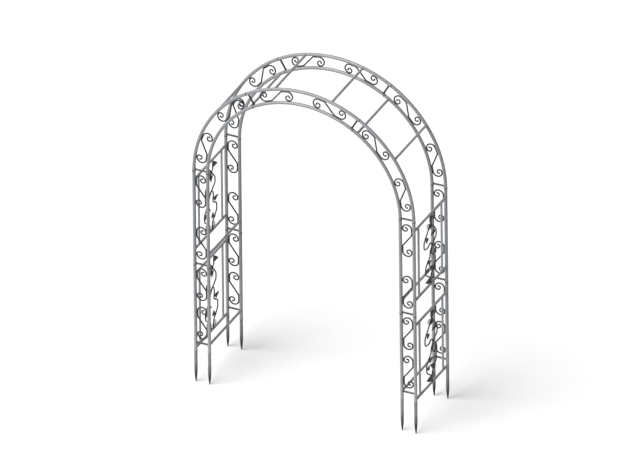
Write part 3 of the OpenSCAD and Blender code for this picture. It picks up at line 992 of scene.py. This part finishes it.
def leaf_shape(lay, rows=22, half_columns=6):
    """A closed leaf plate along X: a heart at its stalk, a drawn point at its tip."""
    v = lay.vine
    stalk = v.leaf_stalk
    top, bottom = [], []
    for i in range(rows + 1):
        t = i / rows
        blade = max(0.0, (t - stalk) / (1 - stalk))
        wide = math.sin(math.pi * blade ** HEART) ** FULLNESS if 0 < blade < 1 else 0.0
        tooth = TOOTH_ROOT + TOOTH * (1 - abs(2 * (blade * v.teeth % 1) - 1))
        half = max(v.leaf_w / 2 * wide * tooth, v.leaf_t * 0.7 * (1 - 0.75 * blade))
        for j in range(-half_columns, half_columns + 1):
            c = j / half_columns
            sweep = EDGE_SWEEP * v.leaf_l * abs(c) * wide
            rib = math.exp(-(c / RIB_WIDTH) ** 2) * v.leaf_rib * (1 - 0.6 * t)
            wave = 0.5 + 0.5 * math.cos(math.tau * (blade * v.veins
                                                     - abs(c) * VEIN_SLANT))
            vein = v.leaf_vein * wave ** 4 * wide * (1 - abs(c))
            cup = v.leaf_cup * wide * c * c
            droop = v.leaf_droop * blade * blade
            x = t * v.leaf_l - sweep
            under = v.leaf_t / 2 * (1 - 0.3 * wide)
            top.append(Vector((x, c * half, rib + vein + cup - droop + v.leaf_t / 2)))
            bottom.append(Vector((x, c * half, cup - droop - under)))
    columns = 2 * half_columns + 1
    base = len(top)
    faces = []
    for i in range(rows):
        for j in range(columns - 1):
            a = i * columns + j
            b = a + columns
            faces.append((a, b, b + 1, a + 1))
            faces.append((base + a, base + a + 1, base + b + 1, base + b))
    rim = [i * columns for i in range(rows + 1)]
    rim += [rows * columns + j for j in range(1, columns)]
    rim += [i * columns - 1 for i in range(rows, 0, -1)]
    rim += range(columns - 2, 0, -1)
    faces += [(p, base + p, base + q, q) for p, q in zip(rim, rim[1:] + rim[:1])]
    return shade_smooth(mesh_object("leaf", top + bottom, faces))


# Shares of a weld's width: how far out it sits, and how much it ripples
RUN_SEAT, RING_SEAT = 0.62, 0.22
RUN_RIPPLE, RING_RIPPLE = 0.13, 0.10
RING_RIPPLES = 9
RUN_TIP = 0.02
RAIL_EDGE = 0.3
STEM_RUN, LEAF_RUN = (0.75, 1.5, 0.9), (0.42, 0.9, 0.9)
FULL = (1, 1, 1)


class TRELLIS_OT_scroll_welds(bpy.types.Operator):
    """Run a short weld on both faces of each place where a scroll meets a rail"""
    bl_idname = "trellis.scroll_welds"
    bl_label = "Weld the Scrolls"

    def execute(self, context):
        lay = layout()
        w = context.scene.trellis_welds
        shape = weld_run(w)
        seam = w.run_d * RUN_SEAT
        for frame_name in FRAMES:
            places = []
            for _, spots, curved in scroll_nodes(lay, frame_name):
                for spot in spots:
                    place = scroll_place(spot, lay.frame_y[frame_name])
                    for radius, u in scroll_contacts(lay):
                        turn = u / lay.mid_r if curved else 0
                        x, z = radius, u
                        if curved:
                            x, z = radius * math.cos(turn), radius * math.sin(turn)
                        for y in (-seam, seam):
                            at = place @ Vector((x, y, z))
                            along = place.to_3x3() @ Vector((-math.sin(turn), 0,
                                                             math.cos(turn)))
                            places.append((aimed(at, along), FULL))
            piece = copies(f"{frame_name}_scroll_welds", shape, places,
                           coat_for("rung_bar"))
            joins(piece, "rung_bar")
        drop(shape)
        return {"FINISHED"}


def aimed(at, along, up=Vector((0, 1, 0))):
    """A place whose X axis points along a direction."""
    x = along.normalized()
    z = x.cross(up).normalized()
    y = z.cross(x)
    turn = Matrix((x, y, z)).transposed().to_4x4()
    return Matrix.Translation(at) @ turn


def scroll_contacts(lay):
    """Where a scroll touches its rails, as (radius, distance along the rails)."""
    rail = lay.frame.rail_d / 2
    outer, inner = lay.outer_r - rail, lay.inner_r + rail
    straight = (lay.corner_u + lay.hook_u) / 2 + lay.scroll.bend_r / 4
    return ((outer, straight), (inner, lay.hook_u), (inner, -straight),
            (outer, -lay.hook_u))


def weld_run(w, rings=12, sides=6):
    """A short rippled bead along X."""
    points = []
    for i in range(rings + 1):
        t = i / rings
        fall = max(0.0, 1 - (2 * t - 1) ** 6) ** 0.5
        ripple = 1 + RUN_RIPPLE * math.cos(math.tau * t * w.ripples)
        r = max(w.run_d / 2 * fall * ripple, w.run_d * RUN_TIP)
        for j in range(sides):
            a = math.tau * j / sides
            points.append(((t - 0.5) * w.run_l, r * math.cos(a), r * math.sin(a)))
    faces = grid_faces(rings + 1, sides)
    faces += [tuple(range(sides)), tuple(rings * sides + sides - 1 - j for j in range(sides))]
    return shade_smooth(mesh_object("weld run", points, faces))


def ring_weld(name, bar_r, rail_r, width, steps=18, sides=6):
    """A fillet around a bar along X that ends on a rail along Z, lying on the rail."""
    points = []
    middle = bar_r + width * RING_SEAT
    for i in range(steps):
        a = math.tau * i / steps
        ripple = 1 + RING_RIPPLE * math.cos(a * RING_RIPPLES)
        for j in range(sides):
            b = math.tau * j / sides
            ring = middle + width / 2 * ripple * math.cos(b)
            y = ring * math.sin(a)
            on_rail = -math.sqrt(max(rail_r ** 2 - y * y, (rail_r * RAIL_EDGE) ** 2))
            points.append((on_rail + width / 2 * ripple * math.sin(b), y,
                           ring * math.cos(a)))
    return shade_smooth(mesh_object(name, points,
                                    grid_faces(steps, sides, closed_rows=True)))


class TRELLIS_OT_ring_welds(bpy.types.Operator):
    """Weld around the ends of rungs and pegs"""
    bl_idname = "trellis.ring_welds"
    bl_label = "Weld the Rungs and Pegs"

    def execute(self, context):
        lay = layout()
        w = context.scene.trellis_welds
        f = lay.frame
        rail = f.rail_d / 2
        turn_back = Matrix.Rotation(math.pi, 4, "Z")
        rung_ring = ring_weld("rung weld", f.rung_d / 2, rail, w.ring_d)
        for frame_name in FRAMES:
            places = []
            for spot in rung_spots(lay):
                at = spot_matrix(spot, lay.frame_y[frame_name])
                outer = at @ Matrix.Translation((lay.outer_r, 0, 0))
                inner = at @ Matrix.Translation((lay.inner_r, 0, 0)) @ turn_back
                places += [(outer, FULL), (inner, FULL)]
            piece = copies(f"{frame_name}_rung_welds", rung_ring, places,
                           coat_for("rung_bar"))
            joins(piece, "rung_bar")
        drop(rung_ring)
        peg_ring = ring_weld("peg weld", f.peg_d / 2, rail, w.peg_ring_d)
        places = []
        for spot, radius in bar_spots(lay):
            for frame_name, turn in (("front", -1), ("back", 1)):
                at = spot_matrix(spot, lay.frame_y[frame_name])
                at = at @ Matrix.Translation((radius, 0, 0))
                places.append((at @ Matrix.Rotation(turn * math.pi / 2, 4, "Z"), FULL))
        joins(copies("peg_welds", peg_ring, places, coat_for("frame_tube")), "frame_tube")
        drop(peg_ring)
        return {"FINISHED"}


class TRELLIS_OT_panel_welds(bpy.types.Operator):
    """Weld the stiles and stems to the panel bars and the leaves to their stems"""
    bl_idname = "trellis.panel_welds"
    bl_label = "Weld the Panels"

    def execute(self, context):
        lay = layout()
        w = context.scene.trellis_welds
        run = weld_run(w)
        stile_ring = ring_weld("stile weld", lay.frame.stile_d / 2, lay.frame.bar_d / 2,
                               w.stile_ring_d)
        up = Matrix(((0, 1, 0, 0), (0, 0, 1, 0), (1, 0, 0, 0), (0, 0, 0, 1)))
        down = up @ Matrix.Rotation(math.pi, 4, "Z")
        stile_y = lay.frame.depth / 2 - lay.frame.stile_in
        rings, runs = [], []
        for side, level in PANELS:
            x = lay.outer_r * (1 if side == "right" else -1)
            bottom, top = lay.panels[level]
            for y in (-stile_y, stile_y):
                rings.append((Matrix.Translation((x, y, top)) @ up, FULL))
                rings.append((Matrix.Translation((x, y, bottom)) @ down, FULL))
            runs += panel_runs(lay, side, level)
        joins(copies("stile_welds", stile_ring, rings, coat_for("cross_tube")), "cross_tube")
        joins(copies("vine_welds", run, runs, coat_for("wrought_bar")), "wrought_bar")
        drop(stile_ring)
        drop(run)
        return {"FINISHED"}


def panel_runs(lay, side, level):
    """Short welds at the ends of both stems and at each leaf's and tendril's root."""
    runs = []
    for stem in (0, 1):
        place = panel_matrix(lay, side, level, stem)
        points = stem_points(lay, stem, level)
        for p in (points[0], points[-1]):
            at = place @ Vector((p.x, p.y, 0))
            runs.append((aimed(at, Vector((0, 1, 0)), Vector((1, 0, 0))), STEM_RUN))
    for spec in LEAVES + TENDRILS:
        place = panel_matrix(lay, side, level, spec[0])
        root, _, out = stem_place(lay, spec, level)
        at = place @ Vector((root.x, root.y, 0))
        along = place.to_3x3() @ Vector((-out.y, out.x, 0))
        runs.append((aimed(at, along, Vector((1, 0, 0))), LEAF_RUN))
    return runs


class TRELLIS_OT_screws(bpy.types.Operator):
    """Turn the domed socket screws that hold the cross bars on their pegs"""
    bl_idname = "trellis.screws"
    bl_label = "Turn the Screws"

    def execute(self, context):
        lay = layout()
        k = context.scene.trellis_screws
        shape = screw_shape(k)
        seat = lay.frame.bar_d / 2 - k.sink
        places = []
        for i, (spot, radius) in enumerate(bar_spots(lay)):
            for j, (frame_name, away) in enumerate((("front", 1), ("back", -1))):
                y = lay.frame_y[frame_name] + away * k.from_frame
                at = spot_matrix(spot, y) @ Matrix.Translation((radius + seat, 0, 0))
                spin = Matrix.Rotation(math.radians(37 * i + 23 * j), 4, "X")
                places.append((at @ spin, FULL))
        joins(copies("socket_screws", shape, places, coat_for("screw")), "screw", "bar_screws")
        drop(shape)
        return {"FINISHED"}


# A screw head's outline: [share of its height, share of its radius]
DOME = ((0.0, 1), (0.10, 1), (0.45, 0.93), (0.80, 0.72), (1.0, 0.56))


def screw_shape(k, sides=18):
    """A domed head along X with a hexagon socket, closed underneath."""
    head, tall = k.head_d / 2, k.head_h
    flat = k.socket_d / 2
    points = [(0, 0, 0)]
    for x, r in DOME:
        for j in range(sides):
            a = math.tau * j / sides
            points.append((x * tall, r * head * math.cos(a), r * head * math.sin(a)))
    for depth in (0.0, k.socket_h):
        for j in range(sides):
            a = math.tau * j / sides
            r = flat / math.cos((a + math.pi / 6) % (math.pi / 3) - math.pi / 6)
            points.append((tall - depth, r * math.cos(a), r * math.sin(a)))
    points.append((tall - k.socket_h, 0, 0))
    rows = len(DOME) + 2
    faces = [tuple(1 + i for i in face) for face in grid_faces(rows, sides)]
    faces += [(0, 1 + (j + 1) % sides, 1 + j) for j in range(sides)]
    last = 1 + (rows - 1) * sides
    faces += [(len(points) - 1, last + j, last + (j + 1) % sides) for j in range(sides)]
    return mesh_object("screw", points, faces)


class TRELLIS_OT_stage(bpy.types.Operator):
    """Set the pale floor, the soft lights and the camera"""
    bl_idname = "trellis.stage"
    bl_label = "Set the Stage"

    def execute(self, context):
        stage = context.scene.trellis_stage
        half = stage.floor_size / 2
        floor = mesh_object("floor", [(-half, -half, 0), (half, -half, 0), (half, half, 0),
                                      (-half, half, 0)], [(0, 1, 2, 3)])
        floor.data.materials.append(floor_paint(stage))
        soft_sun(stage)
        sky(context.scene, stage)
        camera(context.scene, stage)
        return {"FINISHED"}


def floor_paint(stage):
    material = bpy.data.materials.new("Pale floor")
    material.use_nodes = True
    tree = material.node_tree
    shader = tree.nodes["Principled BSDF"]
    mottle = add_group(tree, "mottle", opaque(stage.floor), Shade=opaque(
        scaled(stage.floor, 0.985)), Scale=1.2, Amount=0.6)
    tree.links.new(mottle.outputs["Colour"], shader.inputs["Base Color"])
    shader.inputs["Roughness"].default_value = 0.9
    shader.inputs["Specular IOR Level"].default_value = 0.1
    return material


def direction(azimuth, elevation):
    """Towards a place seen from the arch: turned right from the front, and raised."""
    return Vector((math.sin(azimuth) * math.cos(elevation),
                   -math.cos(azimuth) * math.cos(elevation), math.sin(elevation)))


def soft_sun(stage):
    """A broad far light, so that the floor is lit evenly."""
    data = bpy.data.lights.new("key light", "SUN")
    data.angle = stage.key_spread
    data.energy = stage.key_power
    obj = bpy.data.objects.new("key light", data)
    back = direction(stage.key_azimuth, stage.key_elevation)
    obj.rotation_euler = back.to_track_quat("Z", "Y").to_euler()
    bpy.context.collection.objects.link(obj)


def sky(scene, stage):
    world = bpy.data.worlds.new("Soft studio")
    world.use_nodes = True
    background = world.node_tree.nodes["Background"]
    background.inputs["Color"].default_value = (0.96, 0.98, 1.0, 1)
    background.inputs["Strength"].default_value = stage.sky_power
    scene.world = world


def camera(scene, stage):
    """A parallel camera, so that legs near and far are the same size."""
    data = bpy.data.cameras.new("camera")
    data.type = "ORTHO"
    data.ortho_scale = stage.view_width
    data.clip_end = stage.floor_size + stage.camera_back
    obj = bpy.data.objects.new("camera", data)
    back = direction(stage.azimuth, stage.elevation)
    right = Vector((math.cos(stage.azimuth), math.sin(stage.azimuth), 0))
    up = back.cross(right)
    turn = Matrix((right, up, back)).transposed()
    turn = turn @ Matrix.Rotation(stage.roll, 3, "Z")
    aim = Vector((0, 0, stage.aim_height)) + right * stage.aim_right
    obj.matrix_world = Matrix.Translation(aim + back * stage.camera_back) @ turn.to_4x4()
    bpy.context.collection.objects.link(obj)
    scene.camera = obj
    scene.view_settings.view_transform = "Standard"


class TRELLIS_PT_panel(bpy.types.Panel):
    """Lists the arch's pieces and their sizes"""
    bl_idname = "TRELLIS_PT_panel"
    bl_label = "Trellis Arch"
    bl_space_type = "VIEW_3D"
    bl_region_type = "UI"
    bl_category = "Trellis Arch"

    def draw(self, context):
        for holder, _ in SETTINGS:
            box = self.layout.box()
            box.label(text=holder.replace("trellis_", "").title())
            group = getattr(context.scene, holder)
            for name in group.__annotations__:
                box.prop(group, name)
        for operator in OPERATORS:
            self.layout.operator(operator.bl_idname)


SETTINGS = (("trellis_frame", TrellisFrameSizes), ("trellis_scrolls", TrellisScrollSizes),
            ("trellis_vine", TrellisVineSizes), ("trellis_welds", TrellisWeldSizes),
            ("trellis_screws", TrellisScrewSizes), ("trellis_finish", TrellisFinish),
            ("trellis_stage", TrellisStage))
OPERATORS = (TRELLIS_OT_coats, TRELLIS_OT_scrolls, TRELLIS_OT_vines, TRELLIS_OT_leaves,
             TRELLIS_OT_scroll_welds, TRELLIS_OT_ring_welds, TRELLIS_OT_panel_welds,
             TRELLIS_OT_screws, TRELLIS_OT_stage)


def register():
    for _, group in SETTINGS:
        bpy.utils.register_class(group)
    for cls in (*OPERATORS, TRELLIS_PT_panel):
        bpy.utils.register_class(cls)
    for holder, group in SETTINGS:
        setattr(bpy.types.Scene, holder, PointerProperty(type=group))


def unregister():
    for holder, _ in SETTINGS:
        delattr(bpy.types.Scene, holder)
    for cls in (TRELLIS_PT_panel, *reversed(OPERATORS)):
        bpy.utils.unregister_class(cls)
    for _, group in reversed(SETTINGS):
        bpy.utils.unregister_class(group)


def main():
    register()
    for operator in OPERATORS:
        family, name = operator.bl_idname.split(".")
        getattr(getattr(bpy.ops, family), name)()


if __name__ == "__main__":
    main()
